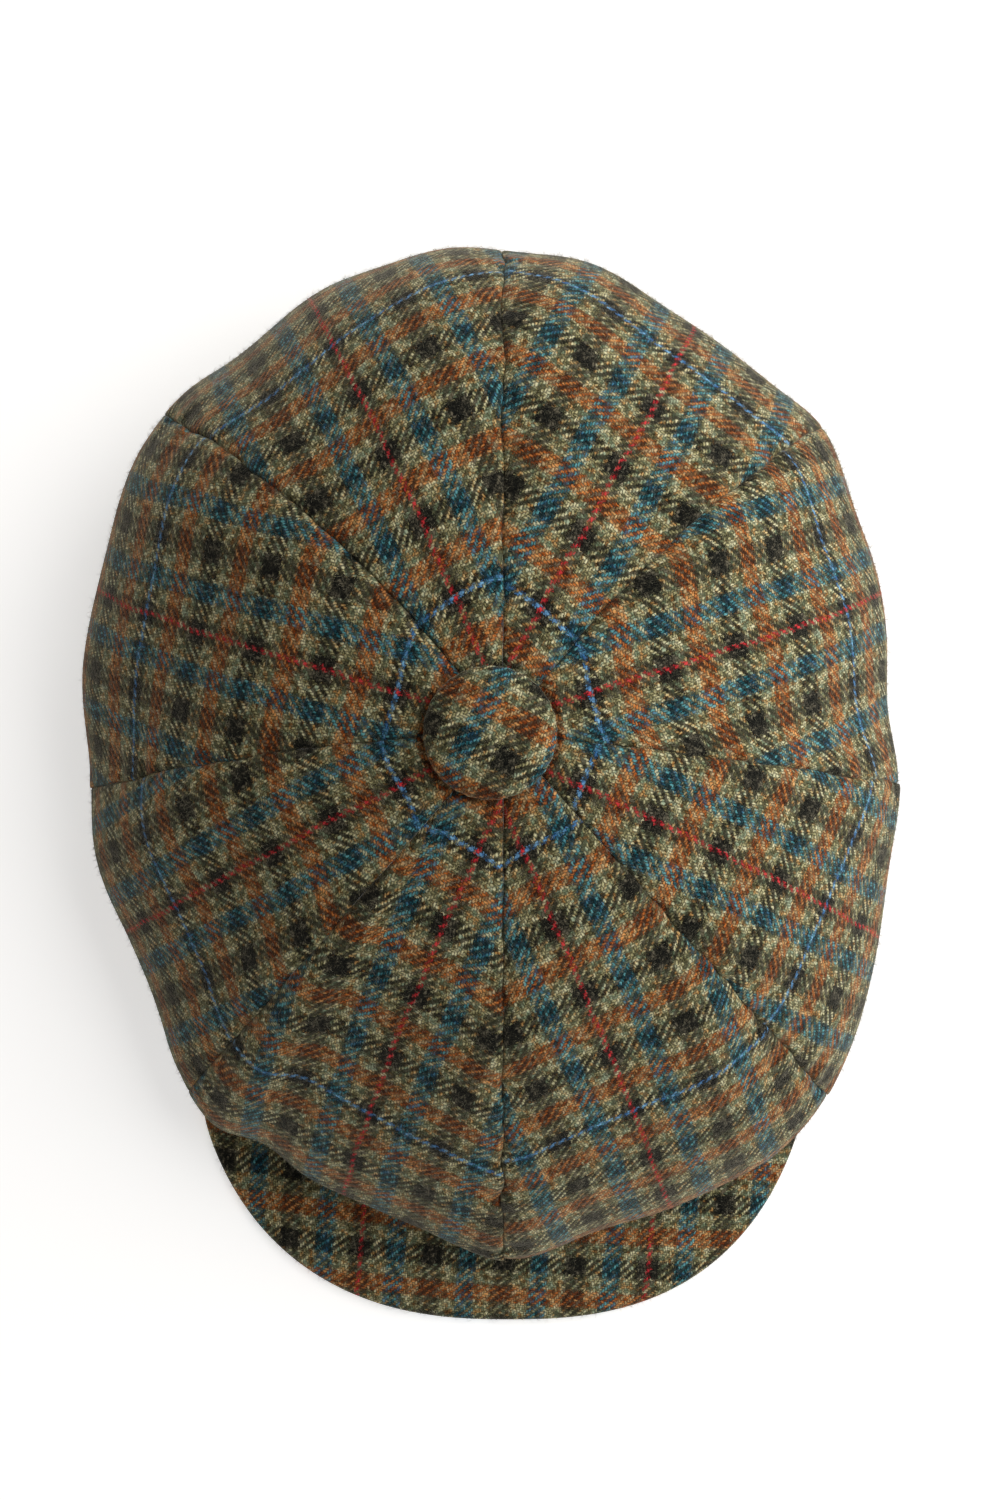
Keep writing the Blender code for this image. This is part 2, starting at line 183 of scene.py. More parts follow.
class Socket:
    """One socket of a material. Arithmetic on it adds Math nodes; node() adds any other node."""

    def __init__(self, tree, socket):
        self.tree, self.socket = tree, socket

    def node(self, kind, settings=None, values=None, out=0):
        """Add a node of a type, with its settings made first, then its sockets' values or links."""
        made = self.tree.nodes.new(kind)
        for name, value in (settings or {}).items():
            if name == "stops":
                stops = made.color_ramp.elements
                while len(stops) < len(value):
                    stops.new(0.5)
                for stop, (position, colour) in zip(stops, value):
                    stop.position, stop.color = position, (*colour, 1.0)
            else:
                setattr(made, name, value)
        for name, value in (values or {}).items():
            if isinstance(value, Socket):
                self.tree.links.new(value.socket, made.inputs[name])
            else:
                made.inputs[name].default_value = value
        return Socket(self.tree, made.outputs[out])

    def math(self, operation, *others, swapped=False):
        """Add a Math node on this value and the others, in order or reversed."""
        terms = [self, *others]
        if swapped:
            terms.reverse()
        return self.node("ShaderNodeMath", {"operation": operation}, dict(enumerate(terms)))

    def __add__(self, other):
        return self.math("ADD", other)

    def __sub__(self, other):
        return self.math("SUBTRACT", other)

    def __rsub__(self, other):
        return self.math("SUBTRACT", other, swapped=True)

    def __mul__(self, other):
        return self.math("MULTIPLY", other)

    def __truediv__(self, other):
        return self.math("DIVIDE", other)

    def __mod__(self, other):
        return self.math("FLOORED_MODULO", other)

    __radd__, __rmul__ = __add__, __mul__

    def floor(self):
        return self.math("FLOOR")

    def clamp(self):
        return self.math("MAXIMUM", 0.0).math("MINIMUM", 1.0)

    def near(self, middle, reach):
        """1 where the value is within reach of middle, else 0."""
        return self.math("COMPARE", middle, reach)


def parts(vector):
    """The three parts of a vector or colour, each a value."""
    split = vector.node("ShaderNodeSeparateXYZ", None, {0: vector})
    return [Socket(vector.tree, split.socket.node.outputs[axis]) for axis in range(3)]


def grain(place, scale, detail, rough=0.5):
    """Three fields of smooth noise about a half, with so many grains to the metre."""
    return parts(place.node(
        "ShaderNodeTexNoise",
        {"noise_dimensions": "2D"},
        {"Vector": place, "Scale": scale, "Detail": detail, "Roughness": rough},
        out=1,
    ))


def chance(first, second):
    """Three even chances from 0 to 1 for each pair of whole numbers."""
    pair = first.node("ShaderNodeCombineXYZ", None, {0: first, 1: second})
    noise = pair.node("ShaderNodeTexWhiteNoise", {"noise_dimensions": "2D"}, {"Vector": pair}, out=1)
    return parts(noise)


def blend(first, second, share):
    """The first colour with a share of the second over it. One of the three is a socket."""
    socket = next(term for term in (first, second, share) if isinstance(term, Socket))
    return socket.node("ShaderNodeMix", {"data_type": "RGBA"}, {0: share, 6: first, 7: second}, out=2)


def yarn(tone, stops):
    """A yarn's colour at a tone from 0, its darkest, to 1, its palest."""
    return tone.node("ShaderNodeValToRGB", {"stops": stops}, {"Fac": tone})


def stripe(number):
    """1 on the 8 threads of a system's own colour."""
    return ((number + 4.0) % REPEAT).near(19.5, 4.1)


def dark(number):
    """1 on the dark threads, which spread a little over their neighbours."""
    return ((number + 5.0) % REPEAT).near(4.5, 4.85)


def line(number):
    """1 on the 2 bright threads down the middle of every fourth dark stripe."""
    return ((number + 1.0) % (4 * REPEAT)).near(0.5, 1.35)


def striped(number, khaki, black, own, bright, bright_share):
    """A system's colour by thread number: 8 dark, 8 khaki, 8 of its own colour, 8 khaki."""
    plain = blend(blend(khaki, black, dark(number)), own, stripe(number))
    return blend(plain, bright, bright_share)


def frayed(number, stray, fray):
    """A thread number moved by its stray fibres, so that a stripe's edge is ragged."""
    return number + (stray - 0.5) * fray - 0.5


def start_wool(name):
    """A wool material and what every wool shares: its thread numbers, its lines and its noises.

    It lies on the UV map named cloth, whose U runs across the warp and V along it, in metres. The
    thread numbers are U and V over the thread's width, shaken a little.
    """
    material = bpy.data.materials.new(name)
    material.use_nodes = True
    shader = material.node_tree.nodes["Principled BSDF"]
    shader.inputs["Roughness"].default_value = 0.92
    shader.inputs["Specular IOR Level"].default_value = 0.15
    shader.inputs["Sheen Weight"].default_value = 0.45
    shader.inputs["Sheen Roughness"].default_value = 0.30
    shader.inputs["Sheen Tint"].default_value = (0.95, 0.90, 0.74, 1.0)
    uv = material.node_tree.nodes.new("ShaderNodeUVMap")
    uv.uv_map = "cloth"
    place = Socket(material.node_tree, uv.outputs["UV"])
    u, v, _ = parts(place)
    slow_u, slow_v, blotch = grain(place, SLOW_GRAIN, 1.0)
    quick_u, quick_v, _ = grain(place, QUICK_GRAIN, 2.0)
    fibre, warp_stray, weft_stray = grain(place, FIBRE_GRAIN, 3.0, 0.65)
    across = u / THREAD + (slow_u - 0.5) * SLOW_SHAKE + (quick_u - 0.5) * QUICK_SHAKE
    along = v / THREAD + (slow_v - 0.5) * SLOW_SHAKE + (quick_v - 0.5) * QUICK_SHAKE
    return SimpleNamespace(
        material=material, shader=shader, place=place, across=across, along=along, fibre=fibre,
        warp_stray=warp_stray, weft_stray=weft_stray, hair=yarn(blotch, HAIR),
        red_line=line(frayed(across, warp_stray, LINE_FRAY)),
        blue_line=line(frayed(along, weft_stray, LINE_FRAY)))


def fluff_colour(wool):
    """Colour of the loose fibre over the cloth: its stripes in paler colours, much frayed."""
    warp = frayed(wool.across, wool.warp_stray, FLUFF_FRAY)
    weft = frayed(wool.along, wool.weft_stray, FLUFF_FRAY)
    return blend(striped(warp, KHAKI_FLUFF, BLACK_FLUFF, TEAL_FLUFF, RED_FLUFF, wool.red_line),
                 striped(weft, KHAKI_FLUFF, BLACK_FLUFF, RUST_FLUFF, BLUE_FLUFF, wool.blue_line), 0.5)


def spin(chances, slub, fibre, flecks, own, bright):
    """The four colours of one system: its khaki, its black, its own and its bright one.

    Tone goes by float, by yarn, by fibre and by fleck. The khaki is flecked with sage and tan, and
    the teal with deep blue.
    """
    dull = WARP_DULLNESS if own is TEAL else WEFT_DULLNESS
    tone = chances[0] * FLOAT_TONE + slub * YARN_TONE + fibre * FIBRE_TONE + flecks[0] * FLECK_TONE
    tone = (tone - dull).clamp()
    sage = (chances[1] * 0.5 + flecks[1] * FLECK_PULL - SAGE_FROM) * FLECK_SHARPNESS
    tan = (chances[2] * 0.5 + flecks[2] * FLECK_PULL - TAN_FROM) * FLECK_SHARPNESS
    sage, tan = sage.clamp() * SAGE_SHARE, tan.clamp() * TAN_SHARE
    khaki = blend(blend(yarn(tone, KHAKI), yarn(tone, SAGE), sage), yarn(tone, TAN), tan)
    middle = yarn(tone, own)
    if own is TEAL:
        middle = blend(middle, yarn(tone, DEEP), sage)
    return khaki, yarn(tone, BLACK), middle, yarn(tone, bright)


def float_height(lie, side, stands):
    """Height over a float: flat along its middle by a cosine, round across by a square."""
    crown = ((lie * (np.pi / 2)).math("COSINE") * FLOAT_FLATNESS).math("MINIMUM", 1.0)
    return crown + stands - side * side * FLOAT_ROUNDNESS


def weave_tweed():
    """The tweed, a 2/2 twill rising to the right, with its nap and stray hairs as colour.

    A warp float is on top where its number less V is within 1 of a multiple of 4, and a weft float
    where U less its number is within 1 of 3 more than a multiple of 4. A yarn that is under another
    is painted nearly black, as painted shade in the gaps, and each float fades into that painted shade
    down its sides and ends by its height. Rust wins where it crosses khaki, and teal a little where it
    crosses the rest.
    """
    wool = start_wool("tweed")
    across, along, fibre = wool.across, wool.along, wool.fibre
    flecks = grain(wool.place, FLECK_GRAIN, 2.0)
    warp, weft = across.floor(), along.floor()
    warp_high = float_height((warp - along + 2.0) % 4.0 - 2.0, across - warp - 0.5, WARP_STANDS)
    weft_high = float_height((across - weft - 1.0) % 4.0 - 2.0, along - weft - 0.5, WEFT_STANDS)
    warp_high, weft_high = warp_high + line(warp) * RED_STANDS, weft_high + line(weft) * BLUE_STANDS
    over_khaki = stripe(weft) * (1.0 - dark(warp) - stripe(warp)).clamp()
    rust_lift = over_khaki * RUST_STANDS
    warp_on_top = ((warp_high - weft_high - rust_lift) * TURN_SHARPNESS + 0.5).clamp()
    height = (warp_high.math("MAXIMUM", weft_high + rust_lift * RUST_SHOWS) / TALLEST).clamp()

    warp_chances = chance(warp, ((along - warp + 2.0) / 4.0).floor())
    weft_chances = chance(((across - weft - 1.0) / 4.0).floor(), weft + WEFT_CHANCE)
    warp_slub = chance(warp, (along / SLUB_LENGTH + warp * SLUB_STAGGER).floor())[0]
    weft_slub = chance((across / SLUB_LENGTH + weft * SLUB_STAGGER).floor(), weft + WEFT_SLUB_CHANCE)[0]
    warp_colour = striped(frayed(across, wool.warp_stray, EDGE_FRAY),
                          *spin(warp_chances, warp_slub, fibre, flecks, TEAL, RED), wool.red_line)
    weft_colour = striped(frayed(along, wool.weft_stray, EDGE_FRAY),
                          *spin(weft_chances, weft_slub, fibre, flecks, RUST, BLUE), wool.blue_line)
    # Painted shade: the yarn seen between floats is blended most of the way to black, for the shade in
    # the gaps.
    under = blend(blend(warp_colour, weft_colour, warp_on_top), SHADE, COVERED_PAINTED_SHADE)
    worn = blend(weft_colour, warp_colour, warp_on_top)
    worn = blend(worn, weft_colour, over_khaki * RUST_WINS)
    worn = blend(worn, warp_colour, stripe(warp) * (1.0 - stripe(weft)) * TEAL_WINS)
    # Painted shade: each float fades into that painted shade down its sides and at its ends, by its
    # height to a power.
    colour = blend(under, worn, height.math("POWER", SIDE_PAINTED_SHADE_POWER))

    curl, other_curl, _ = grain(wool.place, HAIR_GRAIN, 3.0, 0.55)
    hairs = (1.0 - (curl - 0.5).math("ABSOLUTE") * HAIR_THINNESS).clamp()
    hairs = hairs.math("MAXIMUM", 1.0 - (other_curl - 0.5).math("ABSOLUTE") * HAIR_THINNESS)
    hairs = hairs * ((fibre - HAIR_FADES) * HAIR_SHARPNESS).clamp()
    tufts = ((flecks[1] * TUFT_PULL + wool.warp_stray - TUFT_FROM) * TUFT_SHARPNESS).clamp()
    over_black = dark(warp) * (1.0 - dark(weft))
    tufts = (tufts * TUFT_SHARE).math("MAXIMUM", over_black * OVER_BLACK_SHARE)
    colour = blend(colour, fluff_colour(wool), hairs * HAIR_SHARE + tufts)
    colour = blend(colour, wool.hair, hairs * (dark(warp) * GREY_ON_BLACK + GREY_SHARE))
    relief = height * FLOAT_RELIEF + fibre * FIBRE_RELIEF
    normal = relief.node("ShaderNodeBump", None,
                         {"Strength": BUMP_STRENGTH, "Distance": BUMP_DEPTH, "Height": relief})
    normal.tree.links.new(normal.socket, wool.shader.inputs["Normal"])
    colour.tree.links.new(colour.socket, wool.shader.inputs["Base Color"])
    return wool.material


def comb_wool():
    """The loose fibres off the tweed: its stripes' fluff, mostly greyed to pale hair, pale partly as
    painted highlight.
    """
    wool = start_wool("loose_wool")
    # Painted highlight in part: the loose fibres are greyed paler than their cloth, so that fuzz at the
    # edges reads as lit.
    colour = blend(fluff_colour(wool), wool.hair, HAIR_GREY_AND_HIGHLIGHT)
    colour.tree.links.new(colour.socket, wool.shader.inputs["Base Color"])
    return wool.material


tweed = weave_tweed()
loose_wool = comb_wool()


def cloth_shell(name, points, cloth, ring=False, sharp=50.0):
    """Closed skin from rows of closed loops, rows by loop points by 3, with its cloth UV.

    Each face joins a loop's neighbours to the next row's. A ring joins its last row to its first,
    and its UV has one row more; otherwise each end is closed across, the k-th point to the k-th last.
    """
    rows, around = points.shape[:2]
    row, step = np.meshgrid(np.arange(rows if ring else rows - 1), np.arange(around), indexing="ij")
    corners = np.stack([np.stack([row, step], -1), np.stack([row, step + 1], -1),
                        np.stack([row + 1, step + 1], -1), np.stack([row + 1, step], -1)], -2)
    corners = corners.reshape(-1, 4, 2)
    if not ring:
        k = np.arange(around // 2 - 1)
        for end, turn in ((0, -1), (rows - 1, 1)):
            lid = np.stack([k, k + 1, around - 2 - k, around - 1 - k], -1)[:, ::turn]
            corners = np.concatenate([corners, np.stack([np.full_like(lid, end), lid], -1)])
    index = (corners[..., 0] % rows) * around + corners[..., 1] % around
    flat = points.reshape(-1, 3)
    a, b, c, d = (flat[index[:, i]] for i in range(4))
    volume = (np.cross(a, b) * c).sum() + (np.cross(a, c) * d).sum()
    if volume < 0.0:
        index, corners = index[:, ::-1], corners[:, ::-1]
    mesh = bpy.data.meshes.new(name)
    mesh.vertices.add(len(flat))
    mesh.vertices.foreach_set("co", flat.ravel())
    mesh.loops.add(index.size)
    mesh.loops.foreach_set("vertex_index", index.ravel())
    mesh.polygons.add(len(index))
    mesh.polygons.foreach_set("loop_start", np.arange(0, index.size, 4))
    layer = mesh.uv_layers.new(name="cloth")
    layer.data.foreach_set("uv", cloth[corners[..., 0], corners[..., 1] % around].ravel())
    mesh.update(calc_edges=True)
    mesh.validate()
    mesh.shade_smooth()
    mesh.set_sharp_from_angle(angle=np.radians(sharp))
    mesh.materials.append(tweed)
    piece = bpy.data.objects.new(name, mesh)
    bpy.context.scene.collection.objects.link(piece)
    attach(piece, "root")
    return piece


def band_lower_edge(bearing):
    """Height of the band's lower edge: level at the back and sides, cosine squared over the peak."""
    from_front = np.abs((np.asarray(bearing) % 360.0) - 180.0)
    share = np.clip(from_front / (PEAK_HALF_ANGLE + LEVEL_PAST_PEAK), 0.0, 1.0)
    return FRONT_RISE * np.cos(share * np.pi / 2) ** 2


def band_point(bearing, outward=0.0):
    """Plan point of the band's outer face: half width by sine, half length by cosine."""
    turn = np.radians(bearing)
    half_width = HEAD_WIDTH / 2 + BAND_WALL + outward
    half_length = HEAD_LENGTH / 2 + BAND_WALL + outward
    return np.stack([half_width * np.sin(turn), half_length * np.cos(turn)], axis=-1)


def band_loop():
    """Cross-section of the band, inward depth and height: up the face, over, down and under."""
    fold = BAND_WALL / 2
    rise = np.linspace(fold, BAND_HEIGHT - fold, 18)
    turn = np.linspace(0.0, np.pi, 8)[1:-1]
    depth = np.concatenate([0 * rise, fold - fold * np.cos(turn), 0 * rise + BAND_WALL,
                            fold + fold * np.cos(turn)])
    height = np.concatenate([rise, BAND_HEIGHT - fold + fold * np.sin(turn), rise[::-1],
                             fold - fold * np.sin(turn)])
    return depth, height


def band_skin(columns=260):
    """Band points and cloth: the loop carried round the head oval, pinched at its join at the back."""
    bearing = np.linspace(0.0, 360.0, columns + 1)
    depth, height = band_loop()
    outer = band_point(bearing)
    normal = band_point(bearing, 0.001) - outer
    normal = normal / np.linalg.norm(normal, axis=-1, keepdims=True)
    run = np.concatenate([[0.0], np.cumsum(np.linalg.norm(np.diff(outer, axis=0), axis=-1))])
    from_join = np.minimum(run, run[-1] - run)
    middle = np.abs(depth - BAND_WALL / 2) / (BAND_WALL / 2)
    side = np.sign(BAND_WALL / 2 - depth)
    pinch = JOIN_PINCH * np.exp(-from_join / JOIN_REACH)[:, None] * (middle * side)[None, :]
    soft = BAND_EASE * np.sin(run * 2 * np.pi / run[-1] * BAND_WAVES)[:, None]
    plan = outer[:, None, :] - normal[:, None, :] * (depth[None, :] + pinch + soft)[..., None]
    z = band_lower_edge(bearing)[:, None] + height[None, :]
    points = np.concatenate([plan, z[..., None]], axis=-1)
    cloth = np.stack([run[:, None] + 0 * z, height[None, :] + BAND_CHECK * THREAD + 0 * z], axis=-1)
    return points[:-1], cloth


band = cloth_shell("band_tweed", *band_skin(), ring=True)
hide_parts("head_band")


# Peak. A stiff blade covered with the tweed on both faces, the two layers turned and pressed to a
# plain edge. Its cloth is laid a few degrees askew, and its root is sewn under the band's front.
PEAK_REACH = 0.0605
PEAK_FLARE = 0.0115
PEAK_WALL = 0.0035
PEAK_SKEW = 0.002
PEAK_SQUARENESS = 2.50
PEAK_SWEEP = 95.0
PEAK_SHOULDER = 0.68
PEAK_TAPER = 0.12
PEAK_BOW = 0.08
PEAK_LAY = 5.0
PEAK_RED_LINE = 0.0429
PEAK_RUST_ROW = -0.1579
PEAK_CHECK = 16
PEAK_NAP = 9000


# The nap's fibres: their thickness and length, how they lie over, where and how they bend, and how
# deep their roots are.
NAP_RADIUS = 0.00004
NAP_LENGTH = 0.0026
NAP_SHARES = (0.35, 1.0)
NAP_LIFTS = (0.0, 18.0, 80.0)
NAP_TURN = 0.7
NAP_RISES = (0.2, 1.4)
NAP_BEND = 0.55
NAP_TAPER = 0.8
ROOT_DEPTH = 0.0001

# A fibre's faces, by its seven points, and how many corners each has: the root's end, three sides
# and the point's three.
FIBRE_FACES = np.array([0, 2, 1, 0, 1, 4, 3, 1, 2, 5, 4, 2, 0, 3, 5, 3, 4, 6, 4, 5, 6, 5, 3, 6])
FIBRE_CORNERS = np.array([3, 4, 4, 4, 3, 3, 3])
FIBRE_POINTS = 7


def raise_nap(name, points, cloth, count, seed, longest=NAP_LENGTH):
    """Loose fibres rooted all over a grid of outer points, rows by columns by 3, with its cloth UV.

    Roots fall on a cell in proportion to its area. A fibre lies over at a random lift above the
    surface, bends once past its middle and ends in a point; it has three sides and one cloth UV.
    A fibre that would reach below Z = 0, into the table, is left out.
    """
    dice = np.random.default_rng(seed)
    along, aside = points[1:, :-1] - points[:-1, :-1], points[:-1, 1:] - points[:-1, :-1]
    facing = np.cross(along, aside).reshape(-1, 3)
    area = np.linalg.norm(facing, axis=1)
    cell = np.searchsorted(np.cumsum(area), dice.uniform(0.0, area.sum(), count))
    out = facing[cell] / area[cell, None]
    down, over = dice.uniform(0.0, 1.0, (2, count, 1))
    spot, lay = (
        first * (1 - down) + below * down + (beside - first) * over
        for first, below, beside in (
            [side.reshape(len(area), -1)[cell] for side in (grid[:-1, :-1], grid[1:, :-1], grid[:-1, 1:])]
            for grid in (points, cloth)))
    flat = aside.reshape(-1, 3)[cell]
    flat = flat / np.linalg.norm(flat, axis=1, keepdims=True)
    heading = dice.uniform(0.0, 2 * np.pi, count)
    lift = np.radians(dice.triangular(*NAP_LIFTS, count))
    length = longest * dice.uniform(*NAP_SHARES, (count, 1))
    turned = heading + dice.normal(0.0, NAP_TURN, count)
    raised = lift * dice.uniform(*NAP_RISES, count)
    first_way, second_way = (
        (flat * np.cos(way)[:, None] + np.cross(out, flat) * np.sin(way)[:, None]) * np.cos(rise)[:, None]
        + out * np.sin(rise)[:, None] for way, rise in ((heading, lift), (turned, raised)))
    side = np.cross(first_way, out)
    side = side / np.linalg.norm(side, axis=1, keepdims=True)
    third = 2 * np.pi / 3 * np.arange(3)[None, :, None]
    rise = np.cross(first_way, side)
    ring = NAP_RADIUS * (side[:, None] * np.cos(third) + rise[:, None] * np.sin(third))
    root = spot - out * ROOT_DEPTH
    bend = root + first_way * length * NAP_BEND
    tip = bend + second_way * length * (1.0 - NAP_BEND)
    co = np.concatenate([root[:, None] + ring, bend[:, None] + ring * NAP_TAPER, tip[:, None]], axis=1)
    clear = co[..., 2].min(axis=1) > 0.0
    co, lay = co[clear], lay[clear]
    fibre = np.arange(len(co))[:, None]
    starts = np.cumsum(FIBRE_CORNERS) - FIBRE_CORNERS
    mesh = bpy.data.meshes.new(name)
    mesh.vertices.add(len(co) * FIBRE_POINTS)
    mesh.vertices.foreach_set("co", co.ravel())
    mesh.loops.add(len(co) * len(FIBRE_FACES))
    mesh.loops.foreach_set("vertex_index", (FIBRE_FACES + fibre * FIBRE_POINTS).ravel())
    mesh.polygons.add(len(co) * len(FIBRE_CORNERS))
    mesh.polygons.foreach_set("loop_start", (starts + fibre * len(FIBRE_FACES)).ravel())
    layer = mesh.uv_layers.new(name="cloth")
    layer.data.foreach_set("uv", np.repeat(lay, len(FIBRE_FACES), axis=0).ravel())
    mesh.update(calc_edges=True)
    mesh.shade_smooth()
    mesh.materials.append(loose_wool)
    nap = bpy.data.objects.new(name, mesh)
    bpy.context.scene.collection.objects.link(nap)
    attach(nap, "root")


def peak_plan(bearing, share):
    """Plan point: from the band towards a squared oval, drawn in past the shoulder, by a share."""
    root = band_point(bearing, GAP)
    from_front = (bearing - 180.0) / PEAK_HALF_ANGLE
    half_width = HEAD_WIDTH / 2 + BAND_WALL + PEAK_FLARE
    centre_y = -HEAD_LENGTH / 2 + half_width / 2
    length = HEAD_LENGTH / 2 + BAND_WALL + PEAK_REACH + centre_y
    angle = from_front * np.radians(PEAK_SWEEP)
    power = 2.0 / PEAK_SQUARENESS
    edge_x = -half_width * np.sign(angle) * np.abs(np.sin(angle)) ** power
    edge_y = centre_y - length * np.sign(np.cos(angle)) * np.abs(np.cos(angle)) ** power
    past = np.clip((np.abs(from_front) - PEAK_SHOULDER) / (1.0 - PEAK_SHOULDER), 0.0, 1.0)
    reach = share * (PEAK_TAPER + (1.0 - PEAK_TAPER) * np.sqrt(1.0 - past**2))
    skew = PEAK_SKEW * reach * np.clip(np.cos(angle), 0.0, 1.0) ** 3
    return np.stack([root[..., 0] + (edge_x - root[..., 0]) * reach + skew,
                     root[..., 1] + (edge_y - root[..., 1]) * reach], axis=-1)


def peak_under(bearing, share):
    """Height of the underside: the band's lower edge falling to the table, with a slight bow."""
    return band_lower_edge(bearing) * (1.0 - share + PEAK_BOW * np.sin(np.pi * share))


def peak_skin(columns=200, depth=44):
    """Peak points and cloth: over the top from the root, round the edge and back underneath.

    Near the edge the half thickness is the circle's, root of one less the squared distance.
    """
    bearing = 180.0 + np.linspace(-1.0, 1.0, columns + 1) * PEAK_HALF_ANGLE
    far = np.linalg.norm(peak_plan(bearing, 1.0) - peak_plan(bearing, 0.0), axis=-1)
    edge = np.minimum(PEAK_WALL / 2 / far, 0.45)[:, None]
    turn = np.linspace(0.0, np.pi / 2, 8)[None, :]
    flat = np.linspace(0.0, 1.0, depth)[None, :-1] * (1.0 - edge)
    share = np.concatenate([flat, 1.0 - edge + edge * np.sin(turn)], axis=1)
    half = np.concatenate([0 * flat + 1.0, 0 * edge + np.cos(turn)], axis=1) * PEAK_WALL / 2
    share = np.concatenate([share, share[:, -2::-1]], axis=1)
    half = np.concatenate([half, -half[:, -2::-1]], axis=1)
    spread = bearing[:, None] + 0 * share
    plan = peak_plan(spread, share)
    z = peak_under(spread, share) + PEAK_WALL / 2 + half
    points = np.concatenate([plan, z[..., None]], axis=-1)
    lay = np.radians(PEAK_LAY)
    x, y = plan[..., 0] - PEAK_RED_LINE, plan[..., 1] - PEAK_RUST_ROW
    u = x * np.cos(lay) - y * np.sin(lay)
    v = x * np.sin(lay) + y * np.cos(lay) + PEAK_CHECK * THREAD
    return points, np.stack([u, v + half * 0.5], axis=-1)


peak_points, peak_cloth = peak_skin()
peak = cloth_shell("peak_tweed", peak_points, peak_cloth)
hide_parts("peak")
raise_nap("peak_nap", peak_points, peak_cloth, PEAK_NAP, seed=21)


# Crown. Eight gores of the tweed meet under the button, swell over the head and turn under to the
# band. Each is cut with its warp down its middle, so the check mitres at the seams, which are
# pressed open and pull the cloth down into a narrow valley.
CROWN_WIDTH = 0.240
CROWN_LENGTH = 0.298
CROWN_TOP = 0.105
APEX_BACK = 0.0148
TIP_RADIUS = 0.004
SEAM_VALLEY = 0.0011
SEAM_ALLOWANCE = 0.004
FOLD_HEIGHT = 0.0115
FOLD_OVER_PEAK = 0.0012
FOLD_INSET = 0.45
PEAK_DEPTH_FRONT = 1.2
PEAK_DEPTH_LEAST = 0.25

# Each seam's bearing at the tip and by the rim, clockwise from the back.
SEAMS = np.array([(0.0, 0.0), (36.0, 46.0), (96.0, 97.0), (138.0, 138.0), (180.0, 180.0),
                  (220.5, 221.5), (268.0, 262.6), (325.0, 313.4), (360.0, 360.0)])

# The rim's reach at each bearing, as a share of the crown's oval.
RIM = np.array([
    (0.0, 0.945), (15.0, 0.931), (30.0, 0.924), (38.0, 0.946), (47.0, 0.984), (60.0, 0.960),
    (75.0, 0.960), (87.0, 0.942), (98.0, 0.973), (110.0, 0.984), (122.0, 1.010), (137.0, 1.062),
    (146.0, 1.062), (160.0, 1.020), (171.0, 1.010), (180.0, 1.034), (190.0, 0.993), (204.0, 0.990),
    (210.5, 0.990), (216.0, 1.040), (224.0, 1.028), (231.0, 1.000), (241.0, 1.000), (255.0, 1.022),
    (266.0, 1.007), (280.0, 1.026), (295.0, 1.032), (309.0, 1.042), (317.0, 1.020), (324.0, 0.982),
    (341.0, 0.963),
])

# The dome's section in front, at the side and behind: its widest height, its swell, its shoulder.
FRONT, SIDE, BACK = (0.235, 1.72, 1.25), (0.275, 1.95, 1.30), (0.280, 2.20, 2.00)

# How the check lies on each gore, for x = (distance from the apex - 60 mm) / 60 mm. The red line's
# shift, lean and bow in mm; the inner blue row's distance in mm; the rows' tilt and its growth;
# and the cloth's stretch, even and towards the rim.
LAY_MIDDLE = 0.060
LAY = np.array([
    (1.82, 6.43, -2.89, 30.65, 0.083, -0.016, -0.038, -0.34),
    (0.14, 0.44, -2.65, 23.00, -0.110, -0.055, -0.030, 0.50),
    (1.45, -1.54, 1.01, 22.70, 0.145, 0.151, -0.016, 0.30),
    (4.64, -2.07, 0.85, 28.60, -0.104, 0.075, -0.019, 1.00),
    (-3.20, 2.38, -1.80, 28.50, 0.052, -0.086, -0.045, 0.00),
    (-0.40, 0.25, 0.18, 29.98, -0.016, 0.017, 0.026, 1.02),
    (-3.53, -1.04, 3.92, 29.33, 0.065, -0.009, 0.020, -1.01),
    (-1.47, -2.02, 1.05, 35.40, -0.064, -0.060, -0.016, 2.00)])

GORE_WALL = 0.0015
ALLOWANCE_WIDTH = 0.008
ALLOWANCE_RISE = 0.0006
CREASE_DEPTH = 0.0009
CREASE_WIDTH = 0.0005
PUCKER_DEPTH = 0.0005
PUCKER_REACH = 0.006
SEAM_WANDER = 0.0005
SLUMP = 0.0006
SEAM_GAP = 0.00002
WANDER_SEED, SLUMP_SEED, PUCKER_SEED = 40, 5, 100
WANDER_WAVES, SLUMP_WAVES, PUCKER_WAVES = (5, 0.009, 0.040), (9, 0.035, 0.085), (6, 0.006, 0.016)
CREASE_END = 2.6
CREASE_HOLD = 0.7
CREASE_INSIDE = 0.6
GORE_NAP = 5600
BUTTON_RADIUS = 0.0168
BUTTON_SHIFT = -0.0033
PULL_DEPTH = 0.0013
PULL_WIDTH = 0.0011

# A gore's rows, each stretch by its span and count: 0 to 1 is the top, closer at the button's edge,
# then the fold at the rim to 2 and the turn-in to 3.
GORE_ROWS = (((0.0, 0.03), 3), ((0.03, 0.11), 24), ((0.11, 1.0), 93),
             ((1.0, 2.0), 22), ((2.0, 3.0), 22))
GORE_COLUMNS = 56


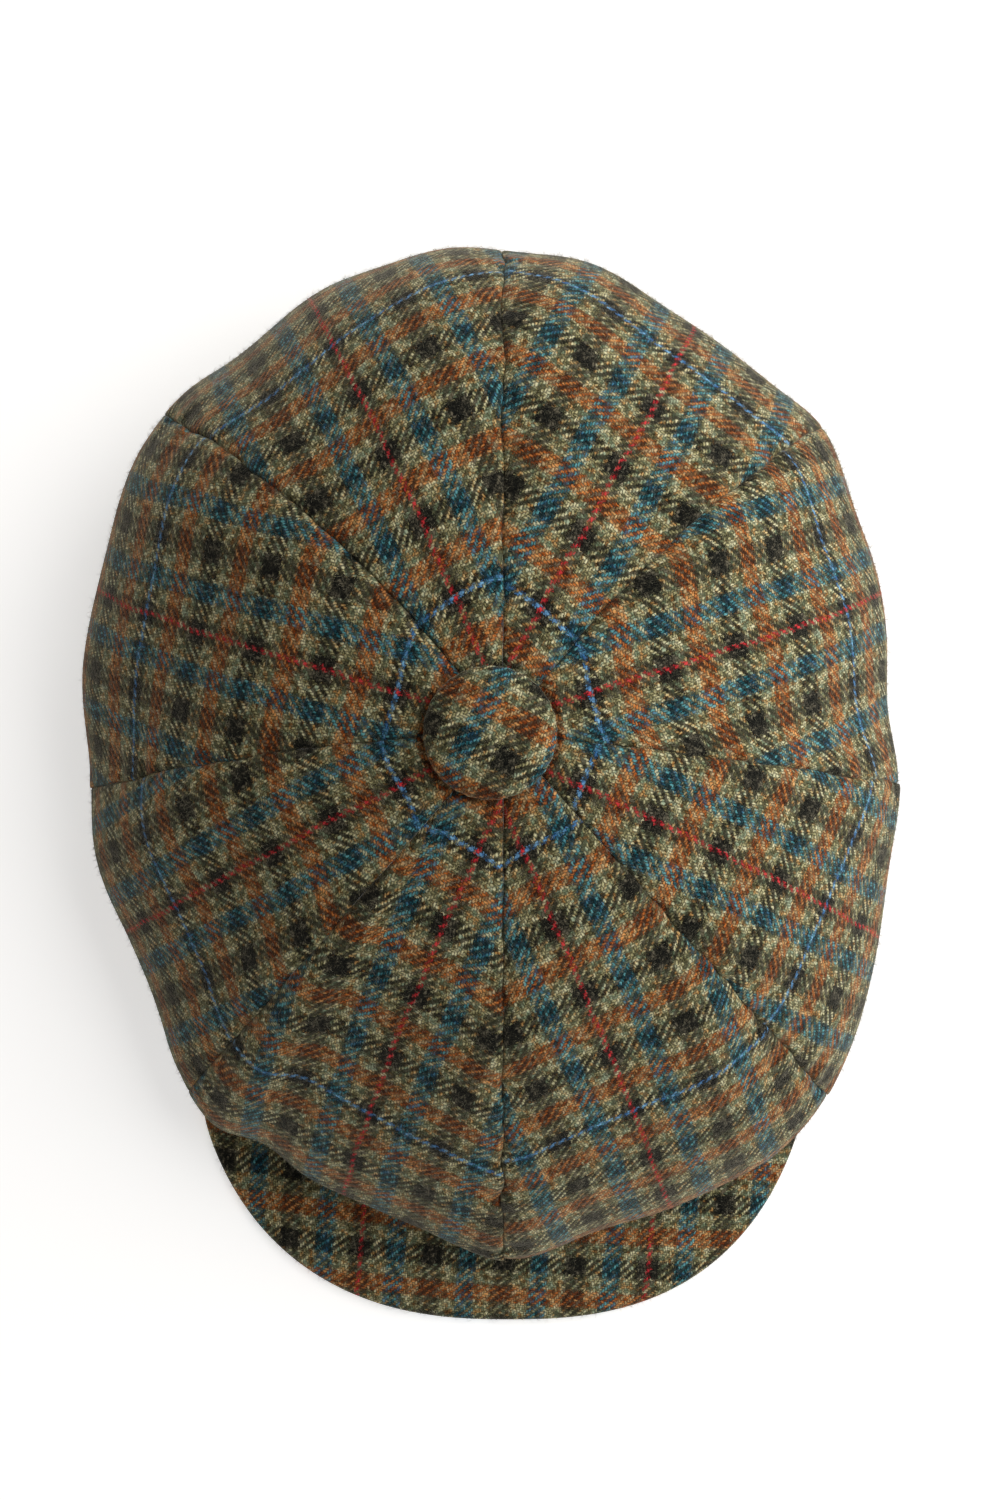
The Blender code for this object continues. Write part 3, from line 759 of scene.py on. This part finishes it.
def band_radius(bearing):
    """Distance from the crown's apex to the band: the ray cut with the band's oval."""
    turn = np.radians(bearing)
    half_width = HEAD_WIDTH / 2 + BAND_WALL + GAP
    half_length = HEAD_LENGTH / 2 + BAND_WALL + GAP
    a = (np.sin(turn) / half_width) ** 2 + (np.cos(turn) / half_length) ** 2
    b = APEX_BACK * np.cos(turn) / half_length**2
    c = (APEX_BACK / half_length) ** 2 - 1.0
    return (-b + np.sqrt(b * b - a * c)) / a


def rim_radius(bearing):
    """Distance from the apex to the rim: the oval times the table's reach, joined by a cubic."""
    turn = np.radians(bearing)
    oval = 1.0 / np.hypot(np.sin(turn) / (CROWN_WIDTH / 2), np.cos(turn) / (CROWN_LENGTH / 2))
    stops = np.concatenate([RIM[-2:, 0] - 360.0, RIM[:, 0], RIM[:2, 0] + 360.0])
    reach = np.concatenate([RIM[-2:, 1], RIM[:, 1], RIM[:2, 1]])
    slope = np.gradient(reach, stops)
    at = np.asarray(bearing) % 360.0
    left = np.clip(np.searchsorted(stops, at, side="right") - 1, 0, len(stops) - 2)
    span = stops[left + 1] - stops[left]
    t = (at - stops[left]) / span
    keep = (1 + 2 * t) * (1 - t) ** 2 * reach[left] + t * t * (3 - 2 * t) * reach[left + 1]
    lean = t * (1 - t) ** 2 * slope[left] - t * t * (1 - t) * slope[left + 1]
    return oval * (keep + span * lean)


def dome_shape(bearing):
    """The dome's widest height, swell and shoulder at a bearing, by cosine squared from the side."""
    lengthwise = np.cos(np.radians(bearing))
    to_back = np.clip(lengthwise, 0.0, 1.0) ** 2
    to_front = np.clip(-lengthwise, 0.0, 1.0) ** 2
    return (side + (back - side) * to_back + (front - side) * to_front
            for front, side, back in zip(FRONT, SIDE, BACK))


def crown_section(bearing, rows):
    """Radius and height of the crown down its rows: 0 to 1 the top, to 2 the fold, to 3 the turn-in.

    Over the top the radius is the rim's times sin^(2/swell) and the height falls as
    cos^(2/shoulder); then a quarter ellipse turns under the rim, and an S curve climbs to the band.
    """
    widest, swell, shoulder = dome_shape(bearing)
    widest = widest * CROWN_TOP
    rim, band_at = rim_radius(bearing), band_radius(bearing)
    tip_angle = np.arcsin((TIP_RADIUS / rim) ** (swell / 2))
    seat = band_lower_edge(bearing) + BAND_HEIGHT - SEAM_ALLOWANCE
    fold = band_at + (rim - band_at) * (1.0 - FOLD_INSET)
    from_front = np.abs((np.asarray(bearing) % 360.0) - 180.0)
    depth = PEAK_REACH * np.clip(PEAK_DEPTH_FRONT - from_front / PEAK_HALF_ANGLE, PEAK_DEPTH_LEAST, 1.0)
    over_peak = peak_under(bearing, np.clip((fold - band_at) / depth, 0.0, 1.0))
    low = np.minimum(np.maximum(FOLD_HEIGHT, over_peak + PEAK_WALL + FOLD_OVER_PEAK), seat)
    top = np.clip(rows, 0.0, 1.0)
    turn = np.clip(rows - 1.0, 0.0, 1.0) * np.pi / 2
    climb = np.clip(rows - 2.0, 0.0, 1.0)
    angle = tip_angle + (np.pi / 2 - tip_angle) * top
    radius = rim * np.sin(angle) ** (2 / swell)
    height = widest + (CROWN_TOP - widest) * np.clip(np.cos(angle), 0.0, 1.0) ** (2 / shoulder)
    radius = np.where(rows > 1.0, fold + (rim - fold) * np.cos(turn), radius)
    height = np.where(rows > 1.0, low + (widest - low) * (1.0 - np.sin(turn)), height)
    radius = np.where(rows > 2.0, fold + (band_at - fold) * climb, radius)
    height = np.where(rows > 2.0, low + (seat - low) * climb * climb * (3.0 - 2.0 * climb), height)
    return radius, height


def waves(seed, count, shortest, longest):
    """Random sine waves by seed: wave numbers, headings and phases, longest to shortest."""
    dice = np.random.default_rng(seed)
    number = 2 * np.pi / dice.uniform(shortest, longest, count)
    return number, dice.uniform(0.0, 2 * np.pi, count), dice.uniform(0.0, 2 * np.pi, count)


def gore_bearings(number, rows, s):
    """Bearing of each point of a gore, from seam to seam as s goes from -1 to 1.

    A seam runs straight from its tip bearing to its rim bearing, and wanders by its own waves.
    """
    inward = (1.0 - np.clip(rows, 0.0, 1.0)) ** 2
    sides = [rim + (tip - rim) * inward for tip, rim in SEAMS[number - 1:number + 1]]
    middle_radius = crown_section((sides[0] + sides[1]) / 2, rows)[0]
    spare = np.degrees(SEAM_GAP / 2 / middle_radius)
    wandered = []
    for seam, side in zip((number - 1, number % 8), sides):
        radius = crown_section(side, rows)[0]
        drift = sum(np.sin(wave * radius + phase) for wave, _, phase in
                    zip(*waves(WANDER_SEED + seam, *WANDER_WAVES)))
        sway = np.degrees(SEAM_WANDER * drift / 2.5 / radius) * np.sqrt(np.clip(rows, 0.0, 1.0))
        wandered.append(side + sway)
    start, end = wandered
    return (start + end) / 2 + s * ((end - start) / 2 - spare)


def lay_check(number, base):
    """Distance down a gore, its half width, and its cloth UV.

    With a the arc from the gore's middle, L the arc from the apex and k the widening over the half
    width, U is sin(ka)/k and V is L - (1 - cos(ka))/k. The gore's row of LAY then moves and tilts them.
    """
    centre = base.shape[1] // 2
    step = np.linalg.norm(np.diff(base, axis=1), axis=-1)
    run = np.concatenate([np.zeros((len(base), 1)), np.cumsum(step, axis=1)], axis=1)
    a = run - run[:, centre:centre + 1]
    half_width = run[:, -1:] / 2
    down = np.linalg.norm(np.diff(base[:, centre], axis=0), axis=-1)
    length = (TIP_RADIUS + np.concatenate([[0.0], np.cumsum(down)]))[:, None]
    widening = np.gradient(half_width[:, 0], length[:, 0])[:, None] / half_width
    smooth = np.convolve(np.pad(widening[:, 0], 3, mode="edge"), np.ones(7) / 7, mode="valid")
    k = np.clip(smooth, -40.0, 250.0)[:, None]
    k = np.where(np.abs(k) < 0.01, 0.01, k)
    shift, lean, bow, blue, tilt, growth, stretch, rim_stretch = LAY[number - 1]
    x = np.clip((length - LAY_MIDDLE) / LAY_MIDDLE, None, 1.6)
    u = np.sin(k * a) / k - (shift + lean * x + bow * x * x) * 0.001
    v = length - (1.0 - np.cos(k * a)) / k
    v = v * (1.0 + stretch) + (tilt + growth * x) * a
    v = v + (rim_stretch * np.clip(x, 0.0, None) ** 3 - blue) * 0.001
    return length, half_width, np.stack([u, v], axis=-1)


def gore_depths(number, rows, s, base, length, half_width):
    """How deep a gore's outer and inner faces lie under the section.

    Both sink by the valley at the seams, the crown's slump and the groove round the button, and the
    outer one by the puckers and the crease, which the rim holds shallow. The inner one is lower by
    the cloth and its allowances.
    """
    valley = SEAM_VALLEY * np.abs(s) ** 4 * np.sin(np.pi * np.clip(rows, 0.0, 1.0))
    slump = 0.0
    for wave, heading, phase in zip(*waves(SLUMP_SEED, *SLUMP_WAVES)):
        way = base[..., 0] * np.cos(heading) + base[..., 1] * np.sin(heading)
        slump = slump + np.sin(wave * way + phase) * SLUMP / 3.0
    slump = slump * np.clip(2.0 - rows, 0.0, 1.0)
    from_button = np.hypot(base[..., 0] - BUTTON_SHIFT, base[..., 1] - APEX_BACK) - BUTTON_RADIUS
    body = valley + slump + PULL_DEPTH * np.exp(-((from_button / PULL_WIDTH) ** 2))
    puckers = 0.0
    for side, seam in ((-1.0, number - 1), (1.0, number % 8)):
        from_seam = np.clip(half_width * (1.0 - side * s), 0.0, None)
        ripple = sum(np.sin(wave * length + phase) for wave, _, phase in
                     zip(*waves(PUCKER_SEED + seam, *PUCKER_WAVES)))
        puckers = puckers + ripple / 3.0 * PUCKER_DEPTH * np.exp(-from_seam / PUCKER_REACH)
    from_edge = half_width * (1.0 - np.abs(s))
    held = 1.0 - CREASE_HOLD * np.exp(-(((rows - 1.05) / 0.22) ** 2))
    crease = CREASE_DEPTH * np.exp(-from_edge / CREASE_WIDTH)
    crease = crease * np.clip(CREASE_END - rows, 0.0, 1.0) * held
    spread = np.clip(2.0 - from_edge / ALLOWANCE_WIDTH * 2.0, 0.0, 1.0)
    return body + puckers + crease, body + GORE_WALL + ALLOWANCE_RISE * spread + crease * CREASE_INSIDE


def gore_skin(number):
    """Points and cloth of one gore, outer face then inner face, as one closed loop to each row.

    A point lies on the section at its bearing, sunk along the section's normal by its depth.
    """
    stretches = [np.linspace(*span, count + 1)[1:] for span, count in GORE_ROWS]
    rows = np.concatenate([[0.0]] + stretches)[:, None]
    s = np.sin(np.linspace(-np.pi / 2, np.pi / 2, GORE_COLUMNS + 1))[None, :]
    bearing = gore_bearings(number, rows, s)
    radius, height = crown_section(bearing, rows + 0.0 * s)
    turn = np.radians(bearing)
    base = np.stack([radius * np.sin(turn), APEX_BACK + radius * np.cos(turn), height], axis=-1)
    length, half_width, cloth = lay_check(number, base)
    along_r, along_z = np.gradient(radius, axis=0), np.gradient(height, axis=0)
    size = np.hypot(along_r, along_z)
    out_r, out_z = -along_z / size, along_r / size
    layers = []
    for sunk in gore_depths(number, rows, s, base, length, half_width):
        r, z = radius - out_r * sunk, height - out_z * sunk
        layers.append(np.stack([r * np.sin(turn), APEX_BACK + r * np.cos(turn), z], axis=-1))
    points = np.concatenate([layers[0], layers[1][:, ::-1]], axis=1)
    return points, np.concatenate([cloth, cloth[:, ::-1]], axis=1)


for number in range(1, 9):
    gore_points, gore_cloth = gore_skin(number)
    gore = cloth_shell(f"gore_{number}", gore_points, gore_cloth)
    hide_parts(f"crown_panel_{number}")
    outer_points, outer_cloth = (grid[:, GORE_COLUMNS::-1] for grid in (gore_points, gore_cloth))
    raise_nap(f"gore_nap_{number}", outer_points, outer_cloth, GORE_NAP, seed=30 + number)


# Button. A round mould covered with a scrap of the tweed, gathered behind it and sewn through the
# crown where the gores meet. Its scrap lies at its own angle, with a teal stripe left of the middle.
BUTTON_DOME = 0.0052
BUTTON_EDGE = 0.0018
BUTTON_LAY = 27.0
BUTTON_TEAL = -0.004
BUTTON_RUST = 0.0061
BUTTON_CHECK = 48
BUTTON_RINGS = 40
BUTTON_STEPS = 144
BUTTON_NAP_RINGS = slice(2, 46)
BUTTON_NAP = 900
BUTTON_NAP_LENGTH = 0.0014
PLEATS = 26
PLEAT_DEPTH = 0.00012
PLEAT_REACH = 0.0022


def crown_drop(bearing, radius):
    """How far the crown has fallen from its apex at a radius, the section solved for height."""
    widest, swell, shoulder = dome_shape(bearing)
    share = 1.0 - (radius / rim_radius(bearing)) ** swell
    return CROWN_TOP * (1.0 - widest) * (1.0 - share ** (1.0 / shoulder))


def button_skin():
    """Button points and cloth: a dome turned round its axis, leaned to the crown, dished beneath."""
    back, front = crown_drop(0.0, BUTTON_RADIUS), crown_drop(180.0, BUTTON_RADIUS)
    right = crown_drop(90.0, BUTTON_RADIUS + BUTTON_SHIFT)
    left = crown_drop(270.0, BUTTON_RADIUS - BUTTON_SHIFT)
    dish = min(back + front, right + left) / 2
    edge = BUTTON_EDGE - dish
    roll_in, roll_down = BUTTON_EDGE * 0.6, BUTTON_EDGE * 0.95
    t = np.linspace(0.0, np.pi / 2, BUTTON_RINGS)
    roll = np.linspace(0.0, np.pi / 2, 6)[1:]
    under = np.linspace(1.0, 0.0, 10)[1:]
    radius = np.concatenate([BUTTON_RADIUS * np.sin(t), BUTTON_RADIUS - roll_in * (1 - np.cos(roll)),
                             (BUTTON_RADIUS - roll_in) * under])
    height = np.concatenate([edge + BUTTON_DOME * np.cos(t), edge - roll_down * np.sin(roll),
                             edge - roll_down + dish * 0.95 * (1 - under**2)])
    run = np.concatenate([[0.0], np.cumsum(np.hypot(np.diff(radius), np.diff(height)))])[:, None]
    turn = np.linspace(0.0, 2 * np.pi, BUTTON_STEPS + 1)[:-1][None, :]
    pleat = PLEAT_DEPTH * np.sin(turn * PLEATS + 1.3 * np.sin(turn * 3))
    pleat = pleat * np.exp(-((run - run[BUTTON_RINGS - 1]) / PLEAT_REACH) ** 2)
    r = radius[:, None] + pleat * np.minimum(1.0, radius[:, None] / BUTTON_RADIUS)
    x, y = r * np.cos(turn), r * np.sin(turn)
    tip_x, tip_y = (right - left) / (2 * BUTTON_RADIUS), (front - back) / (2 * BUTTON_RADIUS)
    z = CROWN_TOP + GAP + height[:, None] - tip_x * x + tip_y * y
    points = np.stack([x + BUTTON_SHIFT, y + APEX_BACK, z], axis=-1)
    lay = np.radians(BUTTON_LAY)
    cx, cy = run * np.cos(turn), run * np.sin(turn)
    u = cx * np.cos(lay) - cy * np.sin(lay) - BUTTON_TEAL + BUTTON_CHECK * THREAD
    v = cx * np.sin(lay) + cy * np.cos(lay) - BUTTON_RUST + BUTTON_CHECK * THREAD
    return points, np.stack([u, v], axis=-1)


def button_mesh(points, cloth):
    """The button's rings joined by quads, each pole one point closed by a fan."""
    rings, around = points.shape[:2]
    flat = np.concatenate([points[1:-1].reshape(-1, 3), points[0, :1], points[-1, :1]])
    sheet = np.concatenate([cloth[1:-1].reshape(-1, 2), cloth[0, :1], cloth[-1, :1]])
    top, bottom = len(flat) - 2, len(flat) - 1
    i, j = np.meshgrid(np.arange(rings - 3), np.arange(around), indexing="ij")
    after = (j + 1) % around
    quads = np.stack([i * around + j, (i + 1) * around + j,
                      (i + 1) * around + after, i * around + after], -1)
    last, j = (rings - 3) * around, np.arange(around)
    after = (j + 1) % around
    fans = [(top, int(a), int(b)) for a, b in zip(j, after)]
    fans += [(bottom, int(last + b), int(last + a)) for a, b in zip(j, after)]
    mesh = bpy.data.meshes.new("button_tweed")
    mesh.from_pydata(flat.tolist(), [], quads.reshape(-1, 4).tolist() + fans)
    layer = mesh.uv_layers.new(name="cloth")
    corner = np.zeros(len(mesh.loops), np.int32)
    mesh.loops.foreach_get("vertex_index", corner)
    layer.data.foreach_set("uv", sheet[corner].ravel())
    mesh.shade_smooth()
    mesh.materials.append(tweed)
    return mesh


button_points, button_cloth = button_skin()
button = bpy.data.objects.new("button_tweed", button_mesh(button_points, button_cloth))
bpy.context.scene.collection.objects.link(button)
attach(button, "root")
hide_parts("crown_button")
dome_points, dome_cloth = (
    np.concatenate([grid, grid[:, :1]], axis=1)[BUTTON_NAP_RINGS]
    for grid in (button_points, button_cloth))
raise_nap("button_nap", dome_points, dome_cloth, BUTTON_NAP, seed=50, longest=BUTTON_NAP_LENGTH)
